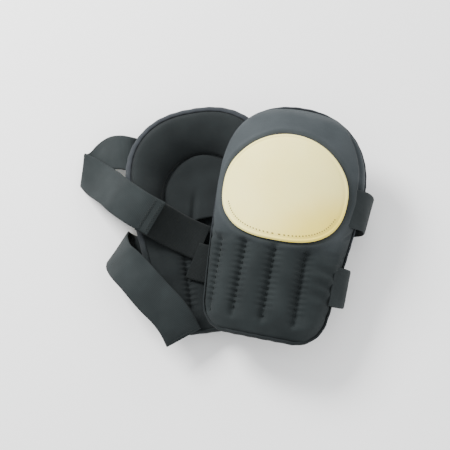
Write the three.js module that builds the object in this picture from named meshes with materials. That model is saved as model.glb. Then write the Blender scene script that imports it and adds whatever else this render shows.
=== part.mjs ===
// A pair of hard-cap knee pads laid down together: one with its knee side up,
// the other, cap up, resting over it like two half pipes.
// Millimetres, +Z up, origin at the middle of the underside.
// A pad is laid out flat first: u runs across it, v along it, w outward from the leg.
import * as THREE from 'three';

// Flat pattern of one pad.
const PAD_TOP = 118;
const PAD_BOTTOM = -113;
const KNEE_HALF = 80;
const SHIN_HALF = 58;
const DOME_START = 32;
const DOME_POWER = 2.6;
const CORNER = 26;
const SEAM_V = -24;
const SEAM_GAP = 1.2;
const TOP_MARGIN = 1.5;
const BOTTOM_MARGIN = 1;

// Grids: stations crowd together where the outline turns fastest.
const LAYER_COLUMNS = 12;
const KNEE_ROWS = 10;
const SHIN_ROWS = 7;
const KNEE_CROWDING = 1.5;
const SHIN_CROWDING = 1.3;
const RIB_GRID = { columns: 3, rows: 4 };
const BINDING_TURNS = 4;

// Layers through the pad, as heights above the leg side of the base foam.
const GAP = 0.8;
const SKIN = 1;
const KNEE_FOAM = 10;
const SHIN_FOAM = 8;
const EDGE_FOAM = 4.5;
const FOAM_INSET = 6;
const FOAM_CLEAR = 1;
const EDGE_FALL = 6;
const END_FALL = 10;
const RIM_HEIGHT = 8;
const RIM_TAPER = 2;
const CAP_WALL = 2.6;
const CAP_HALF = 56;
const CAP_TOP = 80.5;
const CAP_BOTTOM = -20;
const CAP_ROUNDNESS = 2;
const CAP_FLATNESS = 2.5;
const CAP_TIP = 0.985;
const CAP_GRID = { columns: 11, rows: 12 };
const BINDING_WALL = 1.5;
const BINDING_LOW = -2;
const BINDING_HIGH = 7;

// Quilted shin panel: foam ribs between sewn channels.
const CHANNELS = [-52, -27, 1, 29];
const CHANNEL_HALF = 2.5;
const RIB_TOP = -34;
const RIB_BOTTOM = -92;
const RIB_EDGE = 2;

// Padded rim round the knee recess.
const RIM_MIDDLE_V = 20;
const RIM_OUTER = { across: 73, along: 91 };
const RIM_INNER = { across: 46, along: 52 };
const RIM_SPREAD = THREE.MathUtils.degToRad(114);
const RIM_SLOPE = 0.12;
const RIM_END_RISE = 8;
const RIM_END_LOW = 0.4;
const RIM_GRID = { columns: 4, rows: 20 };

// Bends: a shared middle arc, then a tighter or wider arc at each side.
const CORE_HALF = 45;
const CORE_RADIUS = 100;
const CUP_START = 45;
const CUP_RADIUS = 120;
const FRONT_FORM = { leftRadius: 45, rightRadius: 85 };
const REAR_FORM = { leftRadius: 500, rightRadius: 160 };

// Webbing.
const STRAP_WIDTH = 38;
const STRAP_WALL = 1.6;
const TAB_WALL = 1.8;
const STEPS_PER_STOP = 2;
const SECTION = [[-1, -1], [1, -1], [1, 1], [-1, 1]];

// Places of the two pads.
const FRONT_PLACE = { x: 62, y: -15, z: 64.7, turn: -12, pitch: 8 };
const REAR_PLACE = { x: -13, y: 1, z: 15.2, turn: 8 };

const DARK_FABRIC = { color: 0x3c4242, roughness: 0.9 };
const KNEE_FABRIC = { color: 0x5f6468, roughness: 0.85 };
const LINING_FABRIC = { color: 0x3a4040, roughness: 0.95 };
const WEBBING = { color: 0x3f4545, roughness: 0.9 };
const HOOK_TAPE = { color: 0x34393a, roughness: 1 };
const FOAM = { color: 0x55585a, roughness: 1 };
const CAP_PLASTIC = { color: 0xefe8c8, roughness: 0.38 };

const model = new THREE.Group();

function addMesh(group, name, geometry, finish) {
  const mesh = new THREE.Mesh(geometry, new THREE.MeshStandardMaterial({ metalness: 0, ...finish }));
  mesh.name = name;
  group.add(mesh);
}

// ---- flat pattern and bends ----

function halfWidth(v) {
  if (v > DOME_START) {
    const rise = (v - DOME_START) / (PAD_TOP - DOME_START);
    return KNEE_HALF * Math.pow(1 - Math.pow(rise, DOME_POWER), 1 / DOME_POWER);
  }
  const straight = THREE.MathUtils.mapLinear(v, PAD_BOTTOM, DOME_START, SHIN_HALF, KNEE_HALF);
  const below = PAD_BOTTOM + CORNER - v;
  if (below <= 0) return straight;
  return straight - CORNER + Math.sqrt(CORNER * CORNER - below * below);
}

// Carries a flat point to its bent place; w = 0 on the crown is z = 0.
function bend(form, u, v, w) {
  const coreAngle = CORE_HALF / CORE_RADIUS;
  const beyond = Math.max(0, Math.abs(u) - CORE_HALF);
  const radius = u < 0 ? form.leftRadius : form.rightRadius;
  let across = (CORE_RADIUS + w) * Math.sin(Math.abs(u) / CORE_RADIUS);
  let height = (CORE_RADIUS + w) * Math.cos(Math.abs(u) / CORE_RADIUS) - CORE_RADIUS;
  if (beyond > 0) {
    const angle = coreAngle + beyond / radius;
    across = (CORE_RADIUS - radius) * Math.sin(coreAngle) + (radius + w) * Math.sin(angle);
    height = (CORE_RADIUS - radius) * Math.cos(coreAngle) + (radius + w) * Math.cos(angle) - CORE_RADIUS;
  }
  const turn = Math.max(0, v - CUP_START) / CUP_RADIUS;
  const y = Math.min(v, CUP_START) + (CUP_RADIUS + height) * Math.sin(turn);
  const z = (CUP_RADIUS + height) * Math.cos(turn) - CUP_RADIUS;
  return [across * Math.sign(u), y, z];
}

// ---- solids ----

function solid(points, triangles) {
  const geometry = new THREE.BufferGeometry();
  geometry.setAttribute('position', new THREE.Float32BufferAttribute(points.flat(), 3));
  geometry.setIndex(triangles.flat());
  geometry.computeVertexNormals();
  return geometry;
}

function quad(a, b, c, d) {
  return [[a, b, c], [a, c, d]];
}

// A closed slab between two surfaces over one patch of the flat pattern.
// at(s, t) gives [u, v]; low and high give w.
function slab(form, { columns, rows, at, low, high }) {
  const points = [];
  for (const height of [low, high]) {
    for (let r = 0; r <= rows; r++) {
      for (let c = 0; c <= columns; c++) {
        const [u, v] = at(c / columns, r / rows);
        points.push(bend(form, u, v, height(u, v, c / columns, r / rows)));
      }
    }
  }
  const index = (layer, r, c) => (layer * (rows + 1) + r) * (columns + 1) + c;
  const triangles = [];
  for (let r = 0; r < rows; r++) {
    for (let c = 0; c < columns; c++) {
      triangles.push(...quad(index(1, r, c), index(1, r, c + 1), index(1, r + 1, c + 1), index(1, r + 1, c)));
      triangles.push(...quad(index(0, r, c), index(0, r + 1, c), index(0, r + 1, c + 1), index(0, r, c + 1)));
    }
    triangles.push(...quad(index(0, r, 0), index(1, r, 0), index(1, r + 1, 0), index(0, r + 1, 0)));
    const c = columns;
    triangles.push(...quad(index(0, r, c), index(0, r + 1, c), index(1, r + 1, c), index(1, r, c)));
  }
  for (let c = 0; c < columns; c++) {
    triangles.push(...quad(index(0, 0, c), index(0, 0, c + 1), index(1, 0, c + 1), index(1, 0, c)));
    const r = rows;
    triangles.push(...quad(index(0, r, c), index(1, r, c), index(1, r, c + 1), index(0, r, c + 1)));
  }
  return solid(points, triangles);
}

// A strip of webbing along a smooth route. Each stop is [centre, direction across].
function ribbon(stops, wall) {
  const steps = STEPS_PER_STOP * stops.length;
  const sides = SECTION.length;
  const route = new THREE.CatmullRomCurve3(stops.map(([centre]) => new THREE.Vector3(...centre)));
  const across = new THREE.CatmullRomCurve3(stops.map(([, side]) => new THREE.Vector3(...side).normalize()));
  const points = [];
  const triangles = [];
  for (let i = 0; i <= steps; i++) {
    const centre = route.getPoint(i / steps);
    const side = across.getPoint(i / steps).normalize();
    const normal = route.getTangent(i / steps).cross(side).normalize();
    for (const [s, n] of SECTION) {
      const corner = centre.clone().addScaledVector(side, s * STRAP_WIDTH / 2);
      points.push(corner.addScaledVector(normal, n * wall / 2).toArray());
    }
  }
  for (let i = 0; i < steps; i++) {
    const base = sides * i;
    for (let k = 0; k < sides; k++) {
      const next = (k + 1) % sides;
      triangles.push(...quad(base + k, base + next, base + sides + next, base + sides + k));
    }
  }
  const last = sides * steps;
  triangles.push(...quad(0, 3, 2, 1));
  triangles.push(...quad(last, last + 1, last + 2, last + 3));
  return solid(points, triangles);
}

// ---- layers of a pad ----

function kneePatch(inset) {
  const start = SEAM_V + SEAM_GAP / 2;
  const length = PAD_TOP - TOP_MARGIN - inset - start;
  return (s, t) => {
    const v = start + length * (1 - Math.pow(1 - t, KNEE_CROWDING));
    return [THREE.MathUtils.lerp(-1, 1, s) * (halfWidth(v) - inset), v];
  };
}

function shinPatch(inset) {
  const end = SEAM_V - SEAM_GAP / 2;
  const length = end - (PAD_BOTTOM + BOTTOM_MARGIN + inset);
  return (s, t) => {
    const v = end - length * (1 - Math.pow(t, SHIN_CROWDING));
    return [THREE.MathUtils.lerp(-1, 1, s) * (halfWidth(v) - inset), v];
  };
}

// Foam is full in the middle and thins towards the sewn edge.
function foamTop(thickness, u, v) {
  const side = Math.min(1, Math.abs(u) / halfWidth(v));
  const end = v > 0 ? v / PAD_TOP : v / PAD_BOTTOM;
  const fullness = (1 - Math.pow(side, EDGE_FALL)) * (1 - Math.pow(Math.min(1, end), END_FALL));
  return EDGE_FOAM + (thickness - EDGE_FOAM) * fullness;
}

function coverLayer(form, patch, rows, thickness) {
  const low = (u, v) => foamTop(thickness, u, v) + GAP;
  return slab(form, { columns: LAYER_COLUMNS, rows, at: patch, low, high: (u, v) => low(u, v) + SKIN });
}

function foamLayer(form, patch, rows, thickness) {
  const high = (u, v) => foamTop(thickness, u, v) - FOAM_CLEAR;
  return slab(form, { columns: LAYER_COLUMNS, rows, at: patch, low: () => FOAM_CLEAR, high });
}

function liningLayer(form, patch, rows) {
  return slab(form, { columns: LAYER_COLUMNS, rows, at: patch, low: () => -GAP - SKIN, high: () => -GAP });
}

function capOutline(t) {
  const middle = (CAP_TOP + CAP_BOTTOM) / 2;
  const reach = (CAP_TOP - CAP_BOTTOM) / 2;
  const v = middle - reach * CAP_TIP * Math.cos(Math.PI * t);
  const power = v > middle ? CAP_ROUNDNESS : CAP_FLATNESS;
  const half = CAP_HALF * Math.pow(1 - Math.pow(Math.abs(v - middle) / reach, power), 1 / power);
  return { v, half };
}

function capShell(form) {
  const at = (s, t) => {
    const { v, half } = capOutline(t);
    return [THREE.MathUtils.lerp(-1, 1, s) * half, v];
  };
  const low = KNEE_FOAM + GAP + SKIN + GAP;
  return slab(form, { ...CAP_GRID, at, low: () => low, high: () => low + CAP_WALL });
}

function foamRib(form, number) {
  const at = (s, t) => {
    const v = THREE.MathUtils.lerp(RIB_BOTTOM, RIB_TOP, t);
    const edge = halfWidth(v) - RIB_EDGE;
    const from = number > 0 ? CHANNELS[number - 1] + CHANNEL_HALF : -edge;
    const to = number < CHANNELS.length ? CHANNELS[number] - CHANNEL_HALF : edge;
    return [THREE.MathUtils.lerp(from, to, s), v];
  };
  const high = (u, v) => foamTop(SHIN_FOAM, u, v) - FOAM_CLEAR;
  return slab(form, { ...RIB_GRID, at, low: () => FOAM_CLEAR, high });
}

// Rim patch: t runs round the recess from right to left, s from its outer to its inner edge.
function rimPatch(s, t) {
  const angle = Math.PI / 2 + THREE.MathUtils.lerp(RIM_SPREAD, -RIM_SPREAD, t);
  const across = THREE.MathUtils.lerp(RIM_OUTER.across, RIM_INNER.across, s);
  const along = THREE.MathUtils.lerp(RIM_OUTER.along, RIM_INNER.along, s);
  return [across * Math.cos(angle), RIM_MIDDLE_V + along * Math.sin(angle)];
}

function rimCrown(s, t) {
  const swell = Math.sin(Math.PI * THREE.MathUtils.lerp(RIM_SLOPE, 1 - RIM_SLOPE, s));
  const ends = Math.min(1, RIM_END_RISE * Math.min(t, 1 - t) + RIM_END_LOW);
  return RIM_TAPER + (RIM_HEIGHT - RIM_TAPER) * swell * ends;
}

function rimFoam(form) {
  const top = -GAP - SKIN - GAP;
  const low = (u, v, s, t) => top - rimCrown(s, t);
  return slab(form, { ...RIM_GRID, at: rimPatch, low, high: () => top });
}

function rimCover(form) {
  const top = -2 * (GAP + SKIN);
  const crown = (u, v, s, t) => top - rimCrown(s, t);
  const low = (u, v, s, t) => crown(u, v, s, t) - SKIN;
  return slab(form, { ...RIM_GRID, at: rimPatch, low, high: crown });
}

// Edge tape: a strip standing just outside the outline, from one end of a patch round to the other.
function bindingStrip(form, patch, rows, far) {
  const track = [];
  for (let i = 0; i < rows; i++) track.push(patch(0, far ? i / rows : 1 - i / rows));
  for (let i = 0; i <= BINDING_TURNS; i++) track.push(patch(i / BINDING_TURNS, far ? 1 : 0));
  for (let i = 1; i <= rows; i++) track.push(patch(1, far ? 1 - i / rows : i / rows));
  const ordered = far ? track : track.reverse();
  const at = (s, t) => {
    const i = Math.round(t * (ordered.length - 1));
    const before = ordered[Math.max(0, i - 1)];
    const after = ordered[Math.min(ordered.length - 1, i + 1)];
    const along = new THREE.Vector2(after[0] - before[0], after[1] - before[1]).normalize();
    const out = GAP + (1 - s) * BINDING_WALL;
    return [ordered[i][0] - along.y * out, ordered[i][1] + along.x * out];
  };
  return slab(form, {
    columns: 1, rows: ordered.length - 1, at, low: () => BINDING_LOW, high: () => BINDING_HIGH,
  });
}

function addPad(group, prefix, form) {
  const add = (name, geometry, finish) => addMesh(group, `${prefix}_${name}`, geometry, finish);
  add('cap', capShell(form), CAP_PLASTIC);
  add('knee_cover', coverLayer(form, kneePatch(0), KNEE_ROWS, KNEE_FOAM), KNEE_FABRIC);
  add('shin_cover', coverLayer(form, shinPatch(0), SHIN_ROWS, SHIN_FOAM), DARK_FABRIC);
  add('knee_foam', foamLayer(form, kneePatch(FOAM_INSET), KNEE_ROWS, KNEE_FOAM), FOAM);
  for (let i = 0; i <= CHANNELS.length; i++) add(`shin_foam_${i + 1}`, foamRib(form, i), FOAM);
  add('knee_lining', liningLayer(form, kneePatch(0), KNEE_ROWS), LINING_FABRIC);
  add('shin_lining', liningLayer(form, shinPatch(0), SHIN_ROWS), LINING_FABRIC);
  add('rim_foam', rimFoam(form), FOAM);
  add('rim_cover', rimCover(form), LINING_FABRIC);
  add('knee_binding', bindingStrip(form, kneePatch(0), KNEE_ROWS, true), DARK_FABRIC);
  add('shin_binding', bindingStrip(form, shinPatch(0), SHIN_ROWS, false), DARK_FABRIC);
}

const front = new THREE.Group();
front.position.set(FRONT_PLACE.x, FRONT_PLACE.y, FRONT_PLACE.z);
front.rotation.order = 'ZXY';
front.rotation.x = THREE.MathUtils.degToRad(FRONT_PLACE.pitch);
front.rotation.z = THREE.MathUtils.degToRad(FRONT_PLACE.turn);
addPad(front, 'front', FRONT_FORM);
model.add(front);

const rear = new THREE.Group();
rear.position.set(REAR_PLACE.x, REAR_PLACE.y, REAR_PLACE.z);
rear.rotation.set(0, Math.PI, THREE.MathUtils.degToRad(REAR_PLACE.turn), 'ZYX');
addPad(rear, 'rear', REAR_FORM);
model.add(rear);

// ---- straps ----
// Each stop is [centre, direction across]; the front ones are in the front pad's own frame.

const FRONT_UPPER_STRAP = [
  [[63, 26, -8.4], [0, 1, 0]], [[71, 26, -15.6], [0, 1, 0]], [[78.5, 26, -24.5], [0, 1, 0]],
  [[82, 25, -34], [0.05, 1, 0]], [[82, 24, -48], [0.1, 1, 0]], [[76, 23, -60], [0.15, 1, 0]],
  [[63, 21, -63.5], [0.15, 1, 0]], [[44, 18, -62], [0.15, 1, 0]],
];

const FRONT_LOWER_STRAP = [
  [[60, -52, -8.2], [0, 1, 0]], [[67, -52, -14.8], [0, 1, 0]], [[72.5, -52, -22], [0, 1, 0]],
  [[74, -52, -30], [0, 1, 0]], [[67, -52, -36], [0, 1, 0]], [[52, -52, -32], [0, 1, 0]],
  [[32, -52, -18], [0, 1, 0]], [[8, -52, -9.5], [0, 1, 0]], [[-18, -52, -9.5], [0, 1, 0]],
  [[-38, -52, -18.5], [0, 1, 0]], [[-49, -52, -26], [0, 1, 0]],
];

const FRONT_LOWER_TAB = [
  [[-43, -52, -27.2], [0, 1, 0]], [[-54, -52, -32.3], [0, 1, 0]], [[-67, -52, -32.2], [0.05, 1, 0]],
  [[-82, -51, -31.5], [0.2, 1, 0]],
];

const REAR_UPPER_ROOT = [
  [[-84, 70, 24], [0, 1, 0]], [[-93, 71, 30], [0, 1, 0]], [[-104, 74, 28], [0, 1, 0]],
  [[-119, 76, 19], [0.02, 1, 0]], [[-136, 72, 6], [0.06, 1, 0]], [[-145, 66, 1.3], [0.09, 1, 0]],
  [[-148.9, 63.6, 2.4], [0.09, 1, 0]], [[-149.8, 63, 4.8], [0.09, 1, 0]],
];

const REAR_UPPER_TAIL = [
  [[-149.8, 63, 5.6], [0.09, 1, 0]], [[-148.8, 62.5, 8.2], [0.1, 1, 0]],
  [[-144.5, 59, 11.5], [0.2, 0.98, 0]],
  [[-129.3, 46.5, 21], [0.45, 0.88, 0]], [[-113, 33, 37], [0.53, 0.85, 0]],
  [[-101, 21, 49], [0.53, 0.85, 0]], [[-90, 12, 54], [0.53, 0.85, 0]],
  [[-78.5, 4, 55], [0.53, 0.85, 0]], [[-61, -5, 49], [0.5, 0.87, 0]],
];

const REAR_UPPER_TAB = [
  [[-73, 0.5, 49.8], [0.53, 0.85, 0]], [[-60, -5.7, 44.2], [0.5, 0.87, 0]],
  [[-45, -13, 33], [0.45, 0.88, 0]], [[-30, -19.5, 25.5], [0.4, 0.92, 0]],
  [[-17, -25, 22.5], [0.38, 0.93, 0]],
];

const REAR_LOWER_ROOT = [
  [[-72, -43.6, 14], [0.53, 0.85, 0]], [[-82, -37.5, 18.5], [0.53, 0.85, 0]],
  [[-92, -31.4, 17], [0.53, 0.85, 0]], [[-103.5, -24.4, 1.3], [0.537, 0.844, 0]],
  [[-107.4, -22, 2.4], [0.537, 0.844, 0]], [[-108.3, -21.4, 4.8], [0.537, 0.844, 0]],
];

const REAR_LOWER_TAIL = [
  [[-108.3, -21.4, 5.6], [0.537, 0.844, 0]], [[-107.3, -22.6, 9], [0.55, 0.83, 0.03]],
  [[-106.5, -29, 21], [0.6, 0.76, 0.2]],
  [[-101, -41, 36], [0.7, 0.62, 0.38]], [[-92, -51, 44.5], [0.7, 0.68, 0.15]],
  [[-82.5, -60.9, 47.5], [0.68, 0.73, 0]], [[-72, -73, 48.5], [0.7, 0.71, 0]],
  [[-61.9, -84.3, 45], [0.72, 0.69, 0]], [[-49.5, -97.1, 40.5], [0.76, 0.65, 0]],
  [[-41.5, -108.4, 35], [0.82, 0.57, -0.05]], [[-35.7, -120.8, 26], [0.87, 0.49, -0.1]],
];

addMesh(front, 'front_upper_strap', ribbon(FRONT_UPPER_STRAP, STRAP_WALL), WEBBING);
addMesh(front, 'front_lower_strap', ribbon(FRONT_LOWER_STRAP, STRAP_WALL), WEBBING);
addMesh(front, 'front_lower_hook_tab', ribbon(FRONT_LOWER_TAB, TAB_WALL), HOOK_TAPE);
addMesh(model, 'rear_upper_strap_root', ribbon(REAR_UPPER_ROOT, STRAP_WALL), WEBBING);
addMesh(model, 'rear_upper_strap_tail', ribbon(REAR_UPPER_TAIL, STRAP_WALL), WEBBING);
addMesh(model, 'rear_upper_hook_tab', ribbon(REAR_UPPER_TAB, TAB_WALL), HOOK_TAPE);
addMesh(model, 'rear_lower_strap_root', ribbon(REAR_LOWER_ROOT, STRAP_WALL), WEBBING);
addMesh(model, 'rear_lower_strap_tail', ribbon(REAR_LOWER_TAIL, STRAP_WALL), WEBBING);

// The origin sits under the middle of the pair.
model.updateMatrixWorld(true);
const extent = new THREE.Box3().setFromObject(model, true);
const middle = extent.getCenter(new THREE.Vector3());
model.position.set(-middle.x, -middle.y, -extent.min.z);

export default model;
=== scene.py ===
"""A pair of hard-cap knee pads laid together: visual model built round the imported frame.

Shapes are worked out in millimetres on a flat pattern (u across, v along, w outward from the
leg), bent, placed and written in metres.
"""
import math

import bmesh
import bpy
import numpy as np
from mathutils import Matrix, Vector


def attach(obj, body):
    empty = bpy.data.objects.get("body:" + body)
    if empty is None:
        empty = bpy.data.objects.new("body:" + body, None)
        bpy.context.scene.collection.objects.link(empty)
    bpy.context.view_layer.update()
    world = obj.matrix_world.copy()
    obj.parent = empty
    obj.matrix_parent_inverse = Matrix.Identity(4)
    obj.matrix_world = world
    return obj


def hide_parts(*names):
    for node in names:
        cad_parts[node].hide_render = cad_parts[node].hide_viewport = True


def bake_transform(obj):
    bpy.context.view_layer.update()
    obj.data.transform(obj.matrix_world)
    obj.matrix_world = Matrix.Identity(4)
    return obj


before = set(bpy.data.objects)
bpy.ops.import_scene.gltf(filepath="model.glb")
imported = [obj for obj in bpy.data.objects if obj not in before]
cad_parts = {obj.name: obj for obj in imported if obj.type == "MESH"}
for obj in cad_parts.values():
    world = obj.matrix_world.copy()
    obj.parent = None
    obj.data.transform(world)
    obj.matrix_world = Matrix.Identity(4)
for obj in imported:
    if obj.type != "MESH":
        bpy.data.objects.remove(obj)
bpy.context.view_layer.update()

MM = 0.001
MERGE_REACH = 1e-6

# ---- driving dimensions, as in the part ----
PAD_TOP, PAD_BOTTOM = 118.0, -113.0
KNEE_HALF, SHIN_HALF = 80.0, 58.0
DOME_START, DOME_POWER, CORNER = 32.0, 2.6, 26.0
SEAM_V = -24.0
KNEE_THICK, SHIN_THICK, EDGE_THICK = 11.8, 10.0, 5.2
CAP_TOP, CAP_BOTTOM, CAP_HALF = 80.5, -20.0, 56.0
CAP_LOW, CAP_WALL, CAP_DOME = 12.6, 2.6, 0.5
CAP_ROUNDNESS, CAP_FLATNESS = 2.0, 2.5
CAP_DOME_POWER, CAP_STITCH_RATIO = 2.2, 0.885
CAP_GROOVE, CAP_GROOVE_AT, CAP_BEAD, CAP_BEAD_AT = 0.55, 0.935, 0.35, 0.962
CAP_ROUND_OFF, CAP_ROUND_FROM = 1.3, 0.972
CHANNELS = (-52.0, -27.0, 1.0, 29.0)
CHANNEL_TOP, CHANNEL_BOTTOM = -24.0, -98.0
CHANNEL_VALLEY, VALLEY_WIDTH = 3.9, 2.6
CHANNEL_SLOPE, SLOPE_WIDTH = 3.0, 7.5
PUCKER_RISE, PUCKER_AWAY, PUCKER_WIDTH = 1.5, 4.0, 3.4
STITCH_STAGGER, STITCH_HALF = 1.7, 1.45
EDGE_TUCK, QUILT_SWELL, SOFT_SIZE = 1.6, 1.5, 0.8
CAP_RING, CAP_SEAT, UNDER_CAP_FOLD = 1.7, 1.5, 1.3
CHANNEL_THREAD, CAP_THREAD_SIZE, TACK_THREAD = 0.4, 0.55, 0.34
STITCH_PITCH = 5.4
RIM_MIDDLE = 20.0
RECESS_ACROSS, RECESS_ALONG = 46.0, 52.0
RIM_SPREAD = math.radians(114)
RIM_HEIGHT, RIM_EDGE, RIM_BASE = 9.6, 0.6, 2.2
RIM_ROWS, RIM_COLUMNS = 150, 30
PANEL_ROWS, PANEL_COLUMNS, PANEL_SHARE = 60, 70, 0.97
PANEL_LOW, PANEL_WALL, PANEL_PUFF, PANEL_LIFT = 0.0, 1.5, 3.4, 2.8
TAPE_REACH, TAPE_HALF, TAPE_RISE, TAPE_INSET, TAPE_GATHER = 2.6, 4.4, 2.0, 1.0, 0.18
TAPE_TURN, TAPE_INNER = 0.62 * math.pi, 0.72
CORE_HALF, CORE_RADIUS = 45.0, 100.0
CUP_START, CUP_RADIUS = 45.0, 120.0
BODY_COLUMNS, CAP_SIDES = 121, 160
STRAP_WIDTH, STRAP_WALL = 38.0, 1.6
SELVEDGE_RISE, SELVEDGE_AT, STRAP_ROUNDING, STRAP_FILL = 0.16, 0.93, 14, 0.86
STRAP_WAVE, STRAP_WAVE_LENGTH, TACK_INSET, TACK_LIFT = 0.35, 17.0, 1.6, 0.08
CENTRE_SHIFT = (-1.4436, 7.1058, 0.0)

FORMS = {"front": (45.0, 85.0), "rear": (500.0, 160.0)}
SPOTS = {"front": (62.0, -15.0, 64.7), "rear": (-13.0, 1.0, 15.2)}
FRONT_TURN, FRONT_PITCH, REAR_TURN = math.radians(-12), math.radians(8), math.radians(8)

# ---- flat pattern, bends and places ----

def turn_z(angle):
    c, s = math.cos(angle), math.sin(angle)
    return np.array([[c, -s, 0], [s, c, 0], [0, 0, 1]])


def turn_x(angle):
    c, s = math.cos(angle), math.sin(angle)
    return np.array([[1, 0, 0], [0, c, -s], [0, s, c]])


FLIP = np.diag([-1.0, 1.0, -1.0])
TURNS = {"front": turn_z(FRONT_TURN) @ turn_x(FRONT_PITCH), "rear": turn_z(REAR_TURN) @ FLIP}


def half_width(v):
    v = np.asarray(v, float)
    rise = np.clip((v - DOME_START) / (PAD_TOP - DOME_START), 0, 1)
    dome = KNEE_HALF * np.power(1 - rise ** DOME_POWER, 1 / DOME_POWER)
    straight = SHIN_HALF + (KNEE_HALF - SHIN_HALF) * (v - PAD_BOTTOM) / (DOME_START - PAD_BOTTOM)
    below = np.clip(PAD_BOTTOM + CORNER - v, 0, CORNER)
    rounded = straight - CORNER + np.sqrt(CORNER ** 2 - below ** 2)
    return np.where(v > DOME_START, dome, rounded)


def bend(pad, u, v, w):
    """Carries flat points to their bent place in the pad's own frame."""
    u, v, w = np.broadcast_arrays(np.asarray(u, float), np.asarray(v, float), np.asarray(w, float))
    left, right = FORMS[pad]
    core = CORE_HALF / CORE_RADIUS
    size = np.abs(u)
    radius = np.where(u < 0, left, right)
    inner = size / CORE_RADIUS
    outer = core + (size - CORE_HALF) / radius
    beyond = size > CORE_HALF
    across = np.where(beyond, (CORE_RADIUS - radius) * math.sin(core) + (radius + w) * np.sin(outer),
                      (CORE_RADIUS + w) * np.sin(inner))
    height = np.where(beyond, (CORE_RADIUS - radius) * math.cos(core) + (radius + w) * np.cos(outer),
                      (CORE_RADIUS + w) * np.cos(inner)) - CORE_RADIUS
    turn = np.clip(v - CUP_START, 0, None) / CUP_RADIUS
    y = np.minimum(v, CUP_START) + (CUP_RADIUS + height) * np.sin(turn)
    z = (CUP_RADIUS + height) * np.cos(turn) - CUP_RADIUS
    return np.stack([across * np.sign(u), y, z], axis=-1)


def place(pad, points):
    """Pad frame to the row frame, still in millimetres."""
    moved = np.asarray(points) @ TURNS[pad].T
    return moved + np.array(SPOTS[pad]) + np.array(CENTRE_SHIFT)


def laid(pad, u, v, w):
    return place(pad, bend(pad, u, v, w))


def smooth(a, b, x):
    t = np.clip((np.asarray(x, float) - a) / (b - a), 0, 1)
    return t * t * (3 - 2 * t)


def bell(x, width):
    return np.exp(-(x / width) ** 2)


# ---- mesh writing ----

def write_mesh(name, points, faces, uvs=None, painted_light_tones=None, part=None):
    """points in mm; uvs per point in mm; tones per point; part per face is a material index."""
    mesh = bpy.data.meshes.new(name)
    mesh.from_pydata([tuple(p) for p in np.asarray(points) * MM], [], [tuple(f) for f in faces])
    loops = np.empty(len(mesh.loops), int)
    mesh.loops.foreach_get("vertex_index", loops)
    if uvs is not None:
        layer = mesh.uv_layers.new(name="flat")
        layer.data.foreach_set("uv", (np.asarray(uvs)[loops] * MM).ravel())
    # The per-point tone attribute carries painted light and shade, blended into the colours.
    if painted_light_tones is not None:
        shade = mesh.attributes.new("painted_light_tone", "FLOAT", "POINT")
        shade.data.foreach_set("value", np.asarray(painted_light_tones, float))
    if part is not None:
        mesh.polygons.foreach_set("material_index", part)
    mesh.polygons.foreach_set("use_smooth", [True] * len(mesh.polygons))
    mesh.update()
    piece = bpy.data.objects.new(name, mesh)
    bpy.context.collection.objects.link(piece)
    return piece


def shell(name, high, low, uv, painted_light_tones=None, around=False):
    """A closed slab between two point grids (rows, columns, 3); around joins the columns."""
    rows, cols = high.shape[:2]
    points = np.concatenate([high.reshape(-1, 3), low.reshape(-1, 3)])
    below = rows * cols
    faces, part = [], []

    def add(a, b, c, d, kind):
        faces.append((a, b, c, d))
        part.append(kind)

    last = cols if around else cols - 1
    for r in range(rows - 1):
        for c in range(last):
            n = (c + 1) % cols
            a, b, e, d = r * cols + c, r * cols + n, (r + 1) * cols + n, (r + 1) * cols + c
            add(a, b, e, d, 0)
            add(below + a, below + d, below + e, below + b, 1)
    for c in range(last):
        n = (c + 1) % cols
        add(below + c, below + n, n, c, 0)
        top = (rows - 1) * cols
        add(top + c, top + n, below + top + n, below + top + c, 0)
    if not around:
        for r in range(rows - 1):
            a, d = r * cols, (r + 1) * cols
            add(below + a, a, d, below + d, 0)
            a, d = a + cols - 1, d + cols - 1
            add(a, below + a, below + d, d, 0)
    grid = np.concatenate([uv.reshape(-1, 2), uv.reshape(-1, 2)])
    shade = None if painted_light_tones is None else np.concatenate([painted_light_tones.ravel(), painted_light_tones.ravel()])
    return write_mesh(name, points, faces, grid, shade, part)


def dress(piece, *materials):
    for material in materials:
        piece.data.materials.append(material)
    if len(materials) == 1:
        piece.data.polygons.foreach_set("material_index", [0] * len(piece.data.polygons))
    return piece


def rods(name, starts, ends, radius, sides=6):
    """Short closed rods with domed ends: one stitch each, joined in one piece."""
    points, faces = [], []
    ring = np.linspace(0, 2 * math.pi, sides, endpoint=False)
    for start, end in zip(starts, ends):
        axis = (end - start) / np.linalg.norm(end - start)
        side = np.cross(axis, [0.3, 0.2, 1.0])
        side /= np.linalg.norm(side)
        other = np.cross(axis, side)
        base = len(points)
        for at, size in ((0.0, 0.55), (0.18, 1.0), (0.82, 1.0), (1.0, 0.55)):
            centre = start + (end - start) * at
            for angle in ring:
                points.append(centre + size * radius * (math.cos(angle) * side + math.sin(angle) * other))
        for k in range(3):
            for i in range(sides):
                n = (i + 1) % sides
                low, up = base + k * sides, base + (k + 1) * sides
                faces.append((low + i, low + n, up + n, up + i))
        faces.append(tuple(base + i for i in reversed(range(sides))))
        faces.append(tuple(base + 3 * sides + i for i in range(sides)))
    points = np.array(points)
    return write_mesh(name, points, faces, points[:, :2])


# ---- materials ----

def new_material(name):
    material = bpy.data.materials.new(name)
    material.use_nodes = True
    nodes, links = material.node_tree.nodes, material.node_tree.links
    return material, nodes, links, nodes["Principled BSDF"]


def math_node(nodes, links, kind, a, b=None):
    node = nodes.new("ShaderNodeMath")
    node.operation = kind
    for slot, value in enumerate((a, b)):
        if value is None:
            continue
        if isinstance(value, (int, float)):
            node.inputs[slot].default_value = value
        else:
            links.new(value, node.inputs[slot])
    return node.outputs[0]


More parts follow.
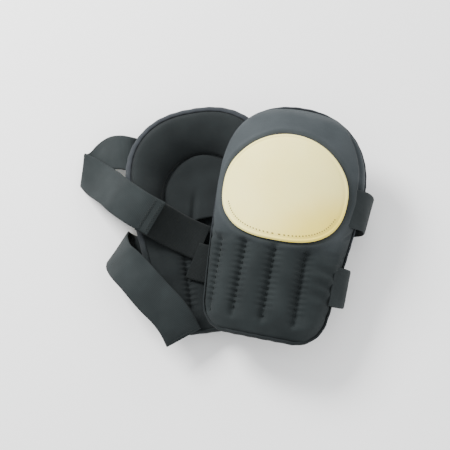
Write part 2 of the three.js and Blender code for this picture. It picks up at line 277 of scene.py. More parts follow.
def noise_node(nodes, links, vector, scale, detail=4.0):
    node = nodes.new("ShaderNodeTexNoise")
    node.inputs["Scale"].default_value = scale
    node.inputs["Detail"].default_value = detail
    links.new(vector, node.inputs["Vector"])
    return node.outputs["Fac"]


def wave_node(nodes, links, vector, period_mm, direction, wobble):
    node = nodes.new("ShaderNodeTexWave")
    node.bands_direction = direction
    node.inputs["Scale"].default_value = math.pi / 10 / (period_mm * MM)
    node.inputs["Distortion"].default_value = wobble
    node.inputs["Detail Scale"].default_value = 2.0
    links.new(vector, node.inputs["Vector"])
    return node.outputs["Fac"]


def ramp_node(nodes, links, value, low, high, low_at=0.3, high_at=0.7):
    node = nodes.new("ShaderNodeValToRGB")
    node.color_ramp.elements[0].color = (*low, 1)
    node.color_ramp.elements[1].color = (*high, 1)
    node.color_ramp.elements[0].position = low_at
    node.color_ramp.elements[1].position = high_at
    links.new(value, node.inputs["Fac"])
    return node.outputs["Color"]


def mix_node(nodes, links, factor, a, b, kind="MIX"):
    node = nodes.new("ShaderNodeMix")
    node.data_type = "RGBA"
    node.blend_type = kind
    if isinstance(factor, (int, float)):
        node.inputs["Factor"].default_value = factor
    else:
        links.new(factor, node.inputs["Factor"])
    links.new(a, node.inputs["A"])
    links.new(b, node.inputs["B"])
    return node.outputs["Result"]


def woven(name, dark, light, period=0.9, ribbed=False, second=None, strength=0.35, sheen=0.03):
    """Woven cloth on the flat pattern: crossing threads, fuzz, and soft uneven wear."""
    material, nodes, links, shader = new_material(name)
    flat = nodes.new("ShaderNodeUVMap")
    flat.uv_map = "flat"
    vector = flat.outputs["UV"]
    warp = wave_node(nodes, links, vector, period, "X", 0.4)
    weft = wave_node(nodes, links, vector, period * (1.7 if ribbed else 1.0), "Y", 0.4)
    crossing = math_node(nodes, links, "MULTIPLY", warp, weft)
    if ribbed:
        crossing = math_node(nodes, links, "ADD", math_node(nodes, links, "MULTIPLY", weft, 0.75),
                             math_node(nodes, links, "MULTIPLY", warp, 0.25))
    fuzz = noise_node(nodes, links, vector, 900, 5)
    patches = noise_node(nodes, links, vector, 28, 3)
    base = ramp_node(nodes, links, patches, dark, light)
    # The second pair of colours is a lit copy, blended in per point by the tone attribute as painted light.
    if second is not None:
        other = ramp_node(nodes, links, patches, *second)
        painted_light_tone = nodes.new("ShaderNodeAttribute")
        painted_light_tone.attribute_name = "painted_light_tone"
        base = mix_node(nodes, links, painted_light_tone.outputs["Fac"], base, other)
    grain = math_node(nodes, links, "ADD", math_node(nodes, links, "MULTIPLY", crossing, 0.6),
                      math_node(nodes, links, "MULTIPLY", fuzz, 0.4))
    shade = ramp_node(nodes, links, grain, (0.72, 0.72, 0.72), (1.12, 1.12, 1.12), 0.15, 0.75)
    links.new(mix_node(nodes, links, 1.0, base, shade, "MULTIPLY"), shader.inputs["Base Color"])
    rough = math_node(nodes, links, "ADD", math_node(nodes, links, "MULTIPLY", fuzz, 0.2), 0.72)
    links.new(rough, shader.inputs["Roughness"])
    shader.inputs["Sheen Weight"].default_value = sheen
    shader.inputs["Sheen Roughness"].default_value = 0.55
    shader.inputs["Specular IOR Level"].default_value = 0.12
    bump = nodes.new("ShaderNodeBump")
    bump.inputs["Strength"].default_value = strength
    bump.inputs["Distance"].default_value = 0.0004
    links.new(grain, bump.inputs["Height"])
    links.new(bump.outputs["Normal"], shader.inputs["Normal"])
    return material


def moulded_cream(name):
    """Cream polyethylene: faint mottling, painted shade as a darker, yellower cast low on one side, fine
    scuffs.
    """
    material, nodes, links, shader = new_material(name)
    flat = nodes.new("ShaderNodeUVMap")
    flat.uv_map = "flat"
    vector = flat.outputs["UV"]
    mottle = noise_node(nodes, links, vector, 22, 3)
    pale = ramp_node(nodes, links, mottle, (0.94, 0.82, 0.28), (0.97, 0.87, 0.35))
    # The darker, yellower ramp is painted shade, blended in per point towards the cap's lower side.
    shaded_cream = ramp_node(nodes, links, mottle, (0.84, 0.65, 0.09), (0.88, 0.71, 0.13))
    painted_light_tone = nodes.new("ShaderNodeAttribute")
    painted_light_tone.attribute_name = "painted_light_tone"
    links.new(mix_node(nodes, links, painted_light_tone.outputs["Fac"], pale, shaded_cream), shader.inputs["Base Color"])
    scuff = noise_node(nodes, links, vector, 420, 6)
    rough = math_node(nodes, links, "ADD", math_node(nodes, links, "MULTIPLY", scuff, 0.16), 0.46)
    links.new(rough, shader.inputs["Roughness"])
    shader.inputs["Specular IOR Level"].default_value = 0.22
    shader.inputs["Subsurface Weight"].default_value = 0.08
    shader.inputs["Subsurface Radius"].default_value = (0.004, 0.003, 0.002)
    bump = nodes.new("ShaderNodeBump")
    bump.inputs["Strength"].default_value = 0.12
    bump.inputs["Distance"].default_value = 0.0003
    links.new(scuff, bump.inputs["Height"])
    links.new(bump.outputs["Normal"], shader.inputs["Normal"])
    return material


# Lighter, bluer shell cloth tones: painted light where the upper knee part faces the lamps.
KNEE_LIT_TONES = ((0.034, 0.041, 0.044), (0.050, 0.058, 0.062))
SHELL_CLOTH = woven("shell_cloth", (0.0115, 0.0150, 0.0155), (0.0195, 0.0245, 0.0250), second=KNEE_LIT_TONES)
LINING_CLOTH = woven("lining_cloth", (0.0085, 0.0110, 0.0115), (0.0145, 0.0180, 0.0185),
                     period=1.1, sheen=0.04)
# The edge tape's second, lighter pair of colours is painted light over the knee part.
EDGE_CLOTH = woven("edge_cloth", (0.0085, 0.0115, 0.0120), (0.0150, 0.0180, 0.0190), period=0.8,
                   second=((0.022, 0.026, 0.030), (0.034, 0.038, 0.043)))
WEBBING = woven("webbing", (0.0120, 0.0155, 0.0160), (0.0205, 0.0255, 0.0260), period=0.9, ribbed=True,
                strength=0.55, sheen=0.04)
HOOK_TAPE = woven("hook_tape", (0.0065, 0.0085, 0.0085), (0.0115, 0.0140, 0.0140), period=1.3, strength=0.8,
                  sheen=0.05)
THREAD = woven("thread", (0.016, 0.020, 0.020), (0.030, 0.036, 0.036), period=0.4, strength=0.5)
CAP_THREAD = woven("cap_thread", (0.10, 0.075, 0.03), (0.17, 0.13, 0.06), period=0.4, strength=0.5)
CAP_PLASTIC = moulded_cream("cap_plastic")


# ---- padded body of a pad ----

def body_rows():
    """Stations along the pad, closer together where the outline turns."""
    corner = PAD_BOTTOM + CORNER * (1 - np.cos(np.linspace(0, math.pi / 2, 14)))
    straight = np.linspace(PAD_BOTTOM + CORNER, DOME_START, 78)[1:]
    dome = DOME_START + (PAD_TOP - DOME_START) * np.sin(np.linspace(0, math.pi / 2, 44)) ** (2 / DOME_POWER)
    return np.concatenate([corner, straight, dome[1:-1], [PAD_TOP - 0.02]])


def body_grid():
    v = body_rows()
    spread = np.linspace(-1, 1, BODY_COLUMNS)
    spread = np.sign(spread) * (1 - (1 - np.abs(spread)) ** 1.12)
    return half_width(v)[:, None] * spread[None, :], np.repeat(v[:, None], BODY_COLUMNS, 1)


def edge_distance(u, v):
    """Roughly how far a flat point is inside the outline."""
    side = half_width(v) - np.abs(u)
    top = (PAD_TOP - v) * (0.55 + 0.45 * (1 - (np.abs(u) / KNEE_HALF) ** 2))
    bottom = v - PAD_BOTTOM
    return np.clip(np.minimum(np.minimum(side, top), bottom), 0, None)


def cap_ratio(u, v):
    """1 on the cap's outline, less inside it."""
    middle, reach = (CAP_TOP + CAP_BOTTOM) / 2, (CAP_TOP - CAP_BOTTOM) / 2
    power = np.where(v > middle, CAP_ROUNDNESS, CAP_FLATNESS)
    return (np.abs(u / CAP_HALF) ** power + np.abs((v - middle) / reach) ** power) ** (1 / power)


def channel_pull(u, v):
    """Depth of the sewn channels, gathered at every stitch."""
    pull = np.zeros_like(u)
    ends = smooth(CHANNEL_BOTTOM - 3, CHANNEL_BOTTOM + 4, v)
    ends = ends * (1 - smooth(CHANNEL_TOP - 3, CHANNEL_TOP + 4, v))
    for number, centre in enumerate(CHANNELS):
        offset = u - centre
        beat = 0.5 + 0.5 * np.cos(2 * math.pi * (v - STITCH_STAGGER * number) / STITCH_PITCH)
        valley = CHANNEL_VALLEY * bell(offset, VALLEY_WIDTH) * (0.5 + 0.5 * beat)
        valley = valley + CHANNEL_SLOPE * bell(offset, SLOPE_WIDTH)
        pucker = PUCKER_RISE * (beat - 0.5) * bell(np.abs(offset) - PUCKER_AWAY, PUCKER_WIDTH)
        pull += (valley + pucker) * ends
    return pull


def soft_folds(u, v, seed, size):
    """Low, broad unevenness, the same every time."""
    drift = np.random.default_rng(seed)
    total = np.zeros_like(u)
    for _ in range(7):
        angle, phase = drift.uniform(0, math.pi), drift.uniform(0, 2 * math.pi)
        length = drift.uniform(22, 60)
        total += np.sin(2 * math.pi * (u * math.cos(angle) + v * math.sin(angle)) / length + phase)
    return size * total / 7


def line_crease(u, v, start, end, width):
    """1 along a straight crease on the flat pattern, fading at its ends."""
    run = np.array(end, float) - np.array(start, float)
    length = np.hypot(*run)
    along = ((u - start[0]) * run[0] + (v - start[1]) * run[1]) / length
    off = ((u - start[0]) * run[1] - (v - start[1]) * run[0]) / length
    return bell(off, width) * smooth(-3, 4, along) * (1 - smooth(length - 4, length + 3, along))


def side_creases(u, v):
    """A rolled rim over the outer shoulder, and drag lines where the straps pull."""
    inside = edge_distance(u, v)
    shoulder = smooth(10, 24, u) * smooth(30, 42, v) * (1 - smooth(92, 104, v))
    height = shoulder * (1.8 * bell(inside - 6.5, 4.5) - 2.6 * bell(inside - 12.5, 1.5))
    height -= 2.0 * line_crease(u, v, (-70, -10), (-53, -31), 1.7)
    height -= 1.0 * line_crease(u, v, (-66, -20), (-56, -38), 1.4)
    return height - 1.4 * line_crease(u, v, (73, 3), (60, -6), 1.5)


def outer_height(u, v, seed):
    """Height of the cover above the leg side of the foam, lowered under the cap."""
    inside = edge_distance(u, v)
    clear = smooth(0, 6, inside)
    thick = SHIN_THICK + (KNEE_THICK - SHIN_THICK) * smooth(SEAM_V - 10, SEAM_V + 8, v)
    height = EDGE_THICK + (thick - EDGE_THICK) * smooth(0, 17, inside) ** 0.8
    height -= EDGE_TUCK * (1 - smooth(0, 4, inside))
    quilted = smooth(CHANNEL_BOTTOM - 8, CHANNEL_BOTTOM + 8, v) * (1 - smooth(-30, -16, v))
    height += QUILT_SWELL * quilted * smooth(0, 14, inside) - channel_pull(u, v) * clear
    ratio = cap_ratio(u, v)
    height += CAP_RING * bell(ratio - 1.085, 0.06) * smooth(2, 12, inside)
    height -= CAP_SEAT * bell(ratio - 1.0, 0.035)
    height += soft_folds(u, v, seed, SOFT_SIZE) * smooth(2, 12, inside) * smooth(1.02, 1.15, ratio)
    under_cap = bell(v - (CAP_BOTTOM - 3.5), 2.6) * smooth(30, 58, np.abs(u))
    height -= UNDER_CAP_FOLD * under_cap * clear
    return np.where(ratio < 0.98, np.minimum(height, CAP_LOW - 0.5), height)


def strap_wrinkles(u, v):
    """Creases pulled towards the strap sewn at one side of the shin."""
    reach = smooth(30, 50, u) * (1 - smooth(62, 74, u))
    band = bell(v + 52, 24)
    return 1.3 * reach * band * np.sin(2 * math.pi * (v + 0.22 * u) / 13.0)


def inner_height(u, v, seed):
    """Height of the lining, which is below zero and follows the channels."""
    inside = edge_distance(u, v)
    height = -1.8 - 1.8 * smooth(0, 14, inside) * (1 - smooth(-34, -20, v))
    height += 0.65 * channel_pull(u, v) * smooth(0, 6, inside)
    height += soft_folds(u, v, seed + 40, 0.7) * smooth(3, 12, inside)
    return height + 1.2 * (1 - smooth(0, 4, inside))


def pad_body(pad, seed):
    """Cover and lining of one pad as a single closed cushion."""
    u, v = body_grid()
    top = outer_height(u, v, seed) + strap_wrinkles(u, v) + side_creases(u, v)
    low = inner_height(u, v, seed)
    # Painted light: the knee part above the seam is lit, less so towards one outer side below the dome.
    painted_light_tones = smooth(SEAM_V - 12, SEAM_V + 26, v) * (1 - 0.6 * smooth(52, 66, u) * (1 - smooth(46, 58, v)))
    body = shell(f"{pad}_pad_body", laid(pad, u, v, top), laid(pad, u, v, low),
                 np.stack([u, v], -1), painted_light_tones)
    dress(body, SHELL_CLOTH, LINING_CLOTH)
    foams = [f"{pad}_knee_foam"] + [f"{pad}_shin_foam_{i}" for i in range(1, 6)]
    covers = [f"{pad}_{layer}" for layer in ("knee_cover", "shin_cover", "knee_lining", "shin_lining")]
    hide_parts(*covers, *foams)
    return body


# ---- edge tape ----

def outline():
    """The pad's outline as evenly spaced (u, v) points, clockwise from its lower left corner."""
    v = body_rows()
    half = half_width(v)
    left = np.stack([-half, v], -1)
    right = np.stack([half, v], -1)[::-1]
    floor = np.stack([np.linspace(half[0], -half[0], 26)[1:-1], np.full(24, PAD_BOTTOM)], -1)
    loop = np.concatenate([left, right, floor])
    step = np.linalg.norm(np.roll(loop, -1, 0) - loop, axis=1)
    loop = loop[step > 0.05]
    far = np.concatenate([[0], np.cumsum(np.linalg.norm(np.roll(loop, -1, 0) - loop, axis=1))])
    closed = np.concatenate([loop, loop[:1]])
    even = np.linspace(0, far[-1], 300, endpoint=False)
    return np.stack([np.interp(even, far, closed[:, k]) for k in (0, 1)], -1), far[-1]


def edge_tape(pad):
    """A folded tape over the sewn edge: a rounded section swept round the outline."""
    loop, length = outline()
    ahead = np.roll(loop, -1, 0) - np.roll(loop, 1, 0)
    out = np.stack([-ahead[:, 1], ahead[:, 0]], -1) / np.linalg.norm(ahead, axis=1)[:, None]
    angles = np.linspace(-TAPE_TURN, TAPE_TURN, 13)
    rows_high, rows_low, flat = [], [], []
    gather = TAPE_GATHER * np.sin(2 * math.pi * np.arange(len(loop)) / 6.0)
    distance = np.linspace(0, length, len(loop))
    for angle in angles:
        for rows, size in ((rows_high, 1.0), (rows_low, TAPE_INNER)):
            reach = TAPE_REACH * math.cos(angle) * size - TAPE_INSET + gather
            rise = TAPE_RISE + TAPE_HALF * math.sin(angle) * size
            at = loop + out * reach[:, None]
            rows.append(laid(pad, at[:, 0], at[:, 1], np.full(len(loop), rise)))
        flat.append(np.stack([distance, np.full(len(loop), TAPE_HALF * angle)], -1))
    # Painted light: the tape takes its lighter colours over the knee part, as the cover does.
    painted_light_tones = np.repeat(smooth(SEAM_V - 12, SEAM_V + 26, loop[:, 1])[None], len(angles), 0)
    tape = shell(f"{pad}_edge_tape", np.array(rows_high)[::-1], np.array(rows_low)[::-1],
                 np.array(flat)[::-1], painted_light_tones, around=True)
    dress(tape, EDGE_CLOTH, EDGE_CLOTH)
    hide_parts(f"{pad}_knee_binding", f"{pad}_shin_binding")
    return tape


# ---- padded rim and knee panel on the leg side ----

def rim_angles(count):
    return math.pi / 2 + np.linspace(RIM_SPREAD, -RIM_SPREAD, count)


def outline_reach(angles, inset):
    """Distance from the recess middle to the outline in each direction."""
    loop, _ = outline()
    bearing = np.arctan2(loop[:, 1] - RIM_MIDDLE, loop[:, 0])
    bearing = np.where(bearing < -math.pi / 2, bearing + 2 * math.pi, bearing)
    order = np.argsort(bearing)
    size = np.hypot(loop[:, 0], loop[:, 1] - RIM_MIDDLE)
    return np.interp(angles, bearing[order], size[order]) - inset


def knee_rim(pad, seed):
    """Horseshoe cushion round the knee recess, widest over the top."""
    angles = rim_angles(RIM_ROWS)
    s = np.linspace(0, 1, RIM_COLUMNS)
    outer = outline_reach(angles, RIM_BASE)
    inner = 1 / np.hypot(np.cos(angles) / RECESS_ACROSS, np.sin(angles) / RECESS_ALONG)
    reach = outer[:, None] + (inner - outer)[:, None] * s[None, :]
    u = reach * np.cos(angles)[:, None]
    v = RIM_MIDDLE + reach * np.sin(angles)[:, None]
    along = np.linspace(0, 1, RIM_ROWS)[:, None]
    ends = smooth(0, 0.09, along) * smooth(0, 0.09, 1 - along)
    swell = np.sin(math.pi * s ** 0.85) ** 0.55
    crown = RIM_EDGE + (RIM_HEIGHT - RIM_EDGE) * swell[None, :] * (0.25 + 0.75 * ends)
    crown = crown + soft_folds(u, v, seed + 9, 0.9) * swell[None, :]
    base = np.full_like(u, -RIM_BASE)
    rim = shell(f"{pad}_knee_rim", laid(pad, u, v, base), laid(pad, u, v, base - crown),
                np.stack([u, v], -1))
    dress(rim, LINING_CLOTH, LINING_CLOTH)
    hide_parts(f"{pad}_rim_cover", f"{pad}_rim_foam")
    return rim


def knee_panel(pad, seed):
    """The soft panel in the recess; its lower edge stands free over a dark pocket."""
    t = np.linspace(0, 1, PANEL_ROWS)[:, None]
    s = np.linspace(-1, 1, PANEL_COLUMNS)[None, :]
    top = RIM_MIDDLE + RECESS_ALONG * PANEL_SHARE
    v0 = PANEL_LOW + (top - PANEL_LOW) * np.sin(t * math.pi / 2)
    rise = np.clip(v0 - RIM_MIDDLE, 0, None) / (RECESS_ALONG * 0.975)
    half = RECESS_ACROSS * PANEL_SHARE * np.sqrt(np.clip(1 - rise ** 2, 0, 1))
    u = half * s
    v = np.broadcast_to(v0, u.shape) + 3.0 * (1 - t) * np.cos(s * 2.6) - 2.0 * (1 - t)
    puff = PANEL_PUFF * np.sqrt(np.clip(1 - s ** 6, 0, 1)) * np.sqrt(np.clip(1 - t ** 6, 0, 1))
    crease = 2.6 * bell(u - 12 + 0.22 * (v - 20), 3.4) * (1 - smooth(10, 40, v))
    second = 1.6 * bell(u + 16 + 0.1 * v, 4.5) * (1 - smooth(2, 24, v))
    lift = PANEL_LIFT * (1 - smooth(0, 0.22, t)) * np.cos(s * 1.3)
    height = -2.6 - puff - lift + crease + second + soft_folds(u, v, seed + 3, 1.0)
    panel = shell(f"{pad}_knee_panel", laid(pad, u, v, height + PANEL_WALL), laid(pad, u, v, height),
                  np.stack([u, v], -1))
    dress(panel, LINING_CLOTH, LINING_CLOTH)
    return panel


# ---- hard cap and its stitches ----

def cap_point(ratio, angle):
    """A flat point of the cap: rounder above its middle, flatter below."""
    middle, reach = (CAP_TOP + CAP_BOTTOM) / 2, (CAP_TOP - CAP_BOTTOM) / 2
    power = np.where(np.sin(angle) > 0, CAP_ROUNDNESS, CAP_FLATNESS)
    c, s = np.cos(angle), np.sin(angle)
    u = CAP_HALF * np.sign(c) * np.abs(c) ** (2 / power)
    v = reach * np.sign(s) * np.abs(s) ** (2 / power)
    return u * ratio, middle + v * ratio


def close_centre(piece):
    """Merges each collapsed middle ring to one point, so the shell has no hole there."""
    mesh = bmesh.new()
    mesh.from_mesh(piece.data)
    bmesh.ops.remove_doubles(mesh, verts=mesh.verts, dist=MERGE_REACH)
    loose = [edge for edge in mesh.edges if not edge.link_faces]
    bmesh.ops.delete(mesh, geom=loose, context="EDGES")
    mesh.to_mesh(piece.data)
    mesh.free()


def hard_cap(pad):
    """Domed shell with a stepped, rounded lip."""
    ratios = np.array([0.0, 0.08, 0.16, 0.26, 0.36, 0.46, 0.56, 0.66, 0.75, 0.82, 0.88, 0.915,
                       0.93, 0.945, 0.955, 0.965, 0.975, 0.985, 0.993, 0.998, 1.0])
    angles = np.linspace(0, 2 * math.pi, CAP_SIDES, endpoint=False)
    grid_r, grid_a = np.meshgrid(ratios, angles, indexing="ij")
    u, v = cap_point(grid_r, grid_a)
    dome = CAP_DOME * (1 - grid_r ** CAP_DOME_POWER)
    lip = CAP_BEAD * bell(grid_r - CAP_BEAD_AT, 0.012) - CAP_GROOVE * bell(grid_r - CAP_GROOVE_AT, 0.010)
    round_off = -CAP_ROUND_OFF * smooth(CAP_ROUND_FROM, 1.0, grid_r) ** 1.6
    top = CAP_LOW + CAP_WALL + dome + lip + round_off
    under = np.full_like(u, CAP_LOW) - 0.1 * (1 - grid_r)
    # Painted shade mask: rises towards the cap's lower part and its +u side.
    shaded_low_right = (u / CAP_HALF) * 0.62 - (v - 30.0) / 50.0 * 0.75
    painted_light_tones = smooth(0.15, 1.0, shaded_low_right)
    cap = shell(f"{pad}_hard_cap", laid(pad, u, v, top)[::-1], laid(pad, u, v, under)[::-1],
                np.stack([u, v], -1)[::-1], painted_light_tones[::-1], around=True)
    close_centre(cap)
    dress(cap, CAP_PLASTIC, CAP_PLASTIC)
    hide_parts(f"{pad}_cap")
    return cap


def cap_stitches(pad):
    """A row of thread along the cap's lower edge, just inside the lip."""
    starts, ends = [], []
    height = CAP_LOW + CAP_WALL + CAP_DOME * (1 - CAP_STITCH_RATIO ** CAP_DOME_POWER) + 0.1
    for angle in np.linspace(math.radians(202), math.radians(338), 42):
        for end, points in ((-0.011, starts), (0.011, ends)):
            u, v = cap_point(np.array(CAP_STITCH_RATIO), np.array(angle + end))
            points.append(laid(pad, u, v, height))
    row = rods(f"{pad}_cap_stitches", starts, ends, CAP_THREAD_SIZE)
    dress(row, CAP_THREAD)
    return row


def channel_stitches(pad, seed):
    """Thread at the bottom of each sewn channel, one stitch to a pucker."""
    starts, ends = [], []
    for number, centre in enumerate(CHANNELS):
        count = int((CHANNEL_TOP - CHANNEL_BOTTOM) / STITCH_PITCH)
        for i in range(count):
            middle = STITCH_STAGGER * number % STITCH_PITCH + CHANNEL_BOTTOM + 2 + i * STITCH_PITCH
            for end, points in ((-STITCH_HALF, starts), (STITCH_HALF, ends)):
                u, v = np.array([centre]), np.array([middle + end])
                height = outer_height(u, v, seed) + strap_wrinkles(u, v) + 0.15
                points.append(laid(pad, u, v, height)[0])
    row = rods(f"{pad}_channel_stitches", starts, ends, CHANNEL_THREAD)
    dress(row, THREAD)
    return row


# ---- straps ----
# Each stop is (centre, direction across). The front ones are in the front pad's own frame.

FRONT_UPPER_STRAP = [
    ((63, 26, -8.4), (0, 1, 0)), ((71, 26, -15.6), (0, 1, 0)), ((78.5, 26, -24.5), (0, 1, 0)),
    ((82, 25, -34), (0.05, 1, 0)), ((82, 24, -48), (0.1, 1, 0)), ((76, 23, -60), (0.15, 1, 0)),
    ((63, 21, -63.5), (0.15, 1, 0)), ((44, 18, -62), (0.15, 1, 0))]
FRONT_LOWER_STRAP = [
    ((60, -52, -8.2), (0, 1, 0)), ((67, -52, -14.8), (0, 1, 0)), ((72.5, -52, -22), (0, 1, 0)),
    ((74, -52, -30), (0, 1, 0)), ((67, -52, -36), (0, 1, 0)), ((52, -52, -32), (0, 1, 0)),
    ((32, -52, -18), (0, 1, 0)), ((8, -52, -9.5), (0, 1, 0)), ((-18, -52, -9.5), (0, 1, 0)),
    ((-38, -52, -18.5), (0, 1, 0)), ((-49, -52, -26), (0, 1, 0))]
FRONT_LOWER_TAB = [
    ((-43, -52, -27.2), (0, 1, 0)), ((-54, -52, -32.3), (0, 1, 0)), ((-67, -52, -32.2), (0.05, 1, 0)),
    ((-82, -51, -31.5), (0.2, 1, 0))]
REAR_UPPER_ROOT = [
    ((-84, 70, 24), (0, 1, 0)), ((-93, 71, 30), (0, 1, 0)), ((-104, 74, 28), (0, 1, 0)),
    ((-119, 76, 19), (0.02, 1, 0)), ((-136, 72, 6), (0.06, 1, 0)), ((-145, 66, 1.3), (0.09, 1, 0)),
    ((-148.9, 63.6, 2.4), (0.09, 1, 0)), ((-149.8, 63, 4.8), (0.09, 1, 0))]
REAR_UPPER_TAIL = [
    ((-149.8, 63, 5.6), (0.09, 1, 0)), ((-148.8, 62.5, 8.2), (0.1, 1, 0)),
    ((-144.5, 59, 11.5), (0.2, 0.98, 0)), ((-129.3, 46.5, 21), (0.45, 0.88, 0)),
    ((-113, 33, 37), (0.53, 0.85, 0)), ((-101, 21, 49), (0.53, 0.85, 0)),
    ((-90, 12, 54), (0.53, 0.85, 0)), ((-78.5, 4, 55), (0.53, 0.85, 0)),
    ((-61, -5, 49), (0.5, 0.87, 0))]
REAR_UPPER_TAB = [
    ((-73, 0.5, 49.8), (0.53, 0.85, 0)), ((-60, -5.7, 44.2), (0.5, 0.87, 0)),
    ((-45, -13, 33), (0.45, 0.88, 0)), ((-30, -19.5, 25.5), (0.4, 0.92, 0)),
    ((-17, -25, 22.5), (0.38, 0.93, 0))]
REAR_LOWER_ROOT = [
    ((-72, -43.6, 14), (0.53, 0.85, 0)), ((-82, -37.5, 18.5), (0.53, 0.85, 0)),
    ((-92, -31.4, 17), (0.53, 0.85, 0)), ((-103.5, -24.4, 1.3), (0.537, 0.844, 0)),
    ((-107.4, -22, 2.4), (0.537, 0.844, 0)), ((-108.3, -21.4, 4.8), (0.537, 0.844, 0))]
REAR_LOWER_TAIL = [
    ((-108.3, -21.4, 5.6), (0.537, 0.844, 0)), ((-107.3, -22.6, 9), (0.55, 0.83, 0.03)),
    ((-106.5, -29, 21), (0.6, 0.76, 0.2)), ((-101, -41, 36), (0.7, 0.62, 0.38)),
    ((-92, -51, 44.5), (0.7, 0.68, 0.15)), ((-82.5, -60.9, 47.5), (0.68, 0.73, 0)),
    ((-72, -73, 48.5), (0.7, 0.71, 0)), ((-61.9, -84.3, 45), (0.72, 0.69, 0)),
    ((-49.5, -97.1, 40.5), (0.76, 0.65, 0)), ((-41.5, -108.4, 35), (0.82, 0.57, -0.05)),
    ((-35.7, -120.8, 26), (0.87, 0.49, -0.1))]


def curve_point(points, t):
    """Centripetal Catmull-Rom through the points, t from 0 to 1."""
    span = (len(points) - 1) * t
    i = min(int(span), len(points) - 2)
    f = span - i
    p1, p2 = points[i], points[i + 1]
    p0 = points[i - 1] if i > 0 else 2 * p1 - p2
    p3 = points[i + 2] if i + 2 < len(points) else 2 * p2 - p1
    gaps = [max(np.linalg.norm(b - a) ** 0.5, 1e-4) for a, b in ((p0, p1), (p1, p2), (p2, p3))]
    m1 = ((p1 - p0) / gaps[0] - (p2 - p0) / (gaps[0] + gaps[1]) + (p2 - p1) / gaps[1]) * gaps[1]
    m2 = ((p2 - p1) / gaps[1] - (p3 - p1) / (gaps[1] + gaps[2]) + (p3 - p2) / gaps[2]) * gaps[1]
    a, b = 2 * p1 - 2 * p2 + m1 + m2, -3 * p1 + 3 * p2 - 2 * m1 - m2
    return a * f ** 3 + b * f ** 2 + m1 * f + p1


def strap_frames(stops, steps):
    centres = [np.array(c, float) for c, _ in stops]
    sides = [np.array(s, float) / np.linalg.norm(s) for _, s in stops]
    ts = np.linspace(0, 1, steps)
    middle = np.array([curve_point(centres, t) for t in ts])
    across = np.array([curve_point(sides, t) for t in ts])
    across /= np.linalg.norm(across, axis=1)[:, None]
    tangent = np.gradient(middle, axis=0)
    normal = np.cross(tangent, across)
    normal /= np.linalg.norm(normal, axis=1)[:, None]
    travel = np.concatenate([[0], np.cumsum(np.linalg.norm(np.diff(middle, axis=0), axis=1))])
    return middle, across, normal, travel


def spot(points, pad=None):
    """A strap's points in the row frame; the rear ones are already in the part's frame."""
    if pad:
        return place(pad, points)
    return np.asarray(points) + np.array(CENTRE_SHIFT)


def strap(name, stops, body, nodes, pad=None, steps=90, material=None,
          cup=0.0, seed=1):
    """Webbing swept along its route: rounded selvedges, a slight cup and soft waviness."""
    middle, across, normal, travel = strap_frames(stops, steps)
    s = np.linspace(-1, 1, 25)
    selvedge = SELVEDGE_RISE * bell(np.abs(s) - SELVEDGE_AT, 0.035)
    rounded = np.sqrt(np.clip(1 - np.abs(s) ** STRAP_ROUNDING, 0, 1))
    thick = STRAP_WALL / 2 * rounded * STRAP_FILL + selvedge
    wave = STRAP_WAVE * np.sin(travel / STRAP_WAVE_LENGTH + seed)[:, None] * s[None, :] ** 3
    arch = cup * (s[None, :] ** 2 - 0.4)
    width = STRAP_WIDTH / 2 * (1 + 0.006 * np.sin(travel / 9.0 + 2 * seed))
    base = middle[:, None] + across[:, None] * (width[:, None] * s[None, :])[..., None]
    high = base + normal[:, None] * (arch + wave + thick[None, :])[..., None]
    low = base + normal[:, None] * (arch + wave - thick[None, :])[..., None]
    uv = np.stack(np.broadcast_arrays(STRAP_WIDTH / 2 * s[None, :], travel[:, None]), -1)
    piece = shell(name, spot(high, pad), spot(low, pad), uv)
    fabric = material or WEBBING
    dress(piece, fabric, fabric)
    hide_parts(*nodes)
    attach(piece, body)
    return middle, across, normal, travel


def on_strap(route, at, reach, face, pad):
    """A point on one face of a strap: at mm along it and reach mm to one side."""
    middle, across, normal, travel = route
    centre, side, up = (np.array([np.interp(at, travel, line[:, k]) for k in range(3)])
                        for line in (middle, across, normal))
    return spot(centre + side * reach + up * face * (STRAP_WALL / 2 + TACK_LIFT), pad)


def bar_tack(name, route, body, at_mm, pad=None, zigzag=2.4, legs=22):
    """A zigzag of thread right across a strap, on the face that shows."""
    points = []
    for i in range(legs + 1):
        at = at_mm + (zigzag if i % 2 else 0)
        reach = (i / legs * 2 - 1) * (STRAP_WIDTH / 2 - TACK_INSET)
        points.append(on_strap(route, at, reach, upward(route), pad))
    row = rods(name, points[:-1], points[1:], TACK_THREAD)
    dress(row, THREAD)
    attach(row, body)


def rear_straps():
    strap("rear_upper_strap_root_web", REAR_UPPER_ROOT, "rear_pad", ["rear_upper_strap_root"], seed=1)
    upper = strap("rear_upper_strap_tail_web", REAR_UPPER_TAIL, "rear_upper_strap",
                  ["rear_upper_strap_tail"], steps=120, cup=0.3, seed=2)
    strap("rear_upper_tab_web", REAR_UPPER_TAB, "rear_upper_strap", ["rear_upper_hook_tab"],
          material=HOOK_TAPE, seed=3)
    strap("rear_lower_strap_root_web", REAR_LOWER_ROOT, "rear_pad", ["rear_lower_strap_root"], seed=4)
    lower = strap("rear_lower_strap_tail_web", REAR_LOWER_TAIL, "rear_lower_strap",
                  ["rear_lower_strap_tail"], steps=130, cup=0.3, seed=5)
    return upper, lower


def front_straps():
    upper = strap("front_upper_strap_web", FRONT_UPPER_STRAP, "front_knee", ["front_upper_strap"],
                  pad="front", steps=110, seed=6)
    lower = strap("front_lower_strap_web", FRONT_LOWER_STRAP, "front_shin", ["front_lower_strap"],
                  pad="front", steps=130, seed=7)
    strap("front_lower_tab_web", FRONT_LOWER_TAB, "front_shin", ["front_lower_hook_tab"], pad="front",
          material=HOOK_TAPE, seed=8)
    return upper, lower


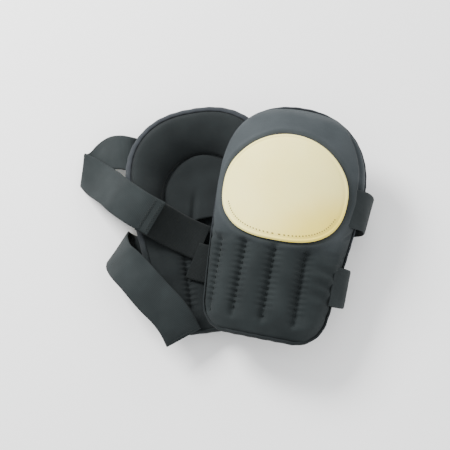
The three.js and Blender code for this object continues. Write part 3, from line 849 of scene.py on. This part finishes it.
def all_straps():
    rear_upper, rear_lower = rear_straps()
    front_upper, front_lower = front_straps()
    end = rear_upper[3][-1]
    bar_tack("rear_upper_seam", rear_upper, "rear_upper_strap", end - 4.5)
    bar_tack("rear_upper_seam_second", rear_upper, "rear_upper_strap", end - 12.0)
    bar_tack("front_upper_anchor", front_upper, "front_knee", 2.0, pad="front")
    bar_tack("front_lower_anchor", front_lower, "front_shin", 2.0, pad="front")
    bar_tack("rear_lower_hem", rear_lower, "rear_lower_strap", rear_lower[3][-1] - 3.5, zigzag=0.8)


def upward(route):
    """Which face of a strap looks up at the stretch that shows."""
    return 1 if route[2][len(route[2]) // 3][2] + route[2][-10][2] > 0 else -1


# ---- floor, light and camera ----

FLOOR_HALF, FLOOR_DROP = 3.0, 0.0007
LAMPS = (("key", (-0.8, 0.8, 0.95), 44.0, 0.5), ("fill", (0.9, -0.4, 1.0), 5.0, 0.9),
         ("back", (0.2, 1.2, 0.5), 2.5, 0.6))


def pale_floor():
    mesh = bpy.data.meshes.new("floor")
    size = FLOOR_HALF
    corners = [(-size, -size, 0), (size, -size, 0), (size, size, 0), (-size, size, 0)]
    mesh.from_pydata(corners, [], [(0, 1, 2, 3)])
    floor = bpy.data.objects.new("floor", mesh)
    floor.location.z = -FLOOR_DROP
    bpy.context.collection.objects.link(floor)
    material, _, _, shader = new_material("floor")
    shader.inputs["Base Color"].default_value = (0.93, 0.93, 0.92, 1)
    shader.inputs["Roughness"].default_value = 0.9
    mesh.materials.append(material)


def soft_light():
    world = bpy.data.worlds.new("studio")
    world.use_nodes = True
    background = world.node_tree.nodes["Background"]
    background.inputs["Color"].default_value = (0.97, 0.98, 1.0, 1)
    background.inputs["Strength"].default_value = 1.35
    bpy.context.scene.world = world
    for name, at, power, width in LAMPS:
        light = bpy.data.lights.new(name, "AREA")
        light.energy = power
        light.size = width
        lamp = bpy.data.objects.new(name, light)
        lamp.location = at
        lamp.rotation_euler = (Vector((0, 0, 0.03)) - Vector(at)).to_track_quat("-Z", "Y").to_euler()
        bpy.context.collection.objects.link(lamp)


CAMERA_AIM = Vector((0.004, -0.001, 0.03))
CAMERA_WAY = Vector((0.10, -0.26, 0.96))
CAMERA_REACH = 0.95
CAMERA_WIDTH = 0.453
SENSOR_WIDTH = 36.0


def set_camera():
    data = bpy.data.cameras.new("camera")
    data.sensor_width = SENSOR_WIDTH
    data.lens = SENSOR_WIDTH * CAMERA_REACH / CAMERA_WIDTH
    camera = bpy.data.objects.new("camera", data)
    way = CAMERA_WAY.normalized()
    camera.location = CAMERA_AIM + way * CAMERA_REACH
    up = Vector((0, 1, 0))
    right = up.cross(way).normalized()
    true_up = way.cross(right)
    turn = [[right[i], true_up[i], way[i]] for i in range(3)]
    camera.rotation_euler = Matrix(turn).to_euler()
    bpy.context.collection.objects.link(camera)
    bpy.context.scene.camera = camera


# ---- assembly ----

def build_pad(pad, seed, knee_body, shin_body):
    body = pad_body(pad, seed)
    tape = edge_tape(pad)
    rim = knee_rim(pad, seed)
    panel = knee_panel(pad, seed)
    cap = hard_cap(pad)
    cap_row = cap_stitches(pad)
    channel_row = channel_stitches(pad, seed)
    for piece in (rim, panel, cap, cap_row):
        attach(piece, knee_body)
    if knee_body == shin_body:
        for piece in (body, tape, channel_row):
            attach(piece, knee_body)
        return
    start = laid(pad, 0, SEAM_V + 10, KNEE_THICK) * MM
    end = laid(pad, 0, SEAM_V - 14, KNEE_THICK) * MM
    for piece in (body, tape, channel_row):
        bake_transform(piece)


set_camera()
pale_floor()
soft_light()
build_pad("front", 11, "front_knee", "front_shin")
build_pad("rear", 23, "rear_pad", "rear_pad")
all_straps()
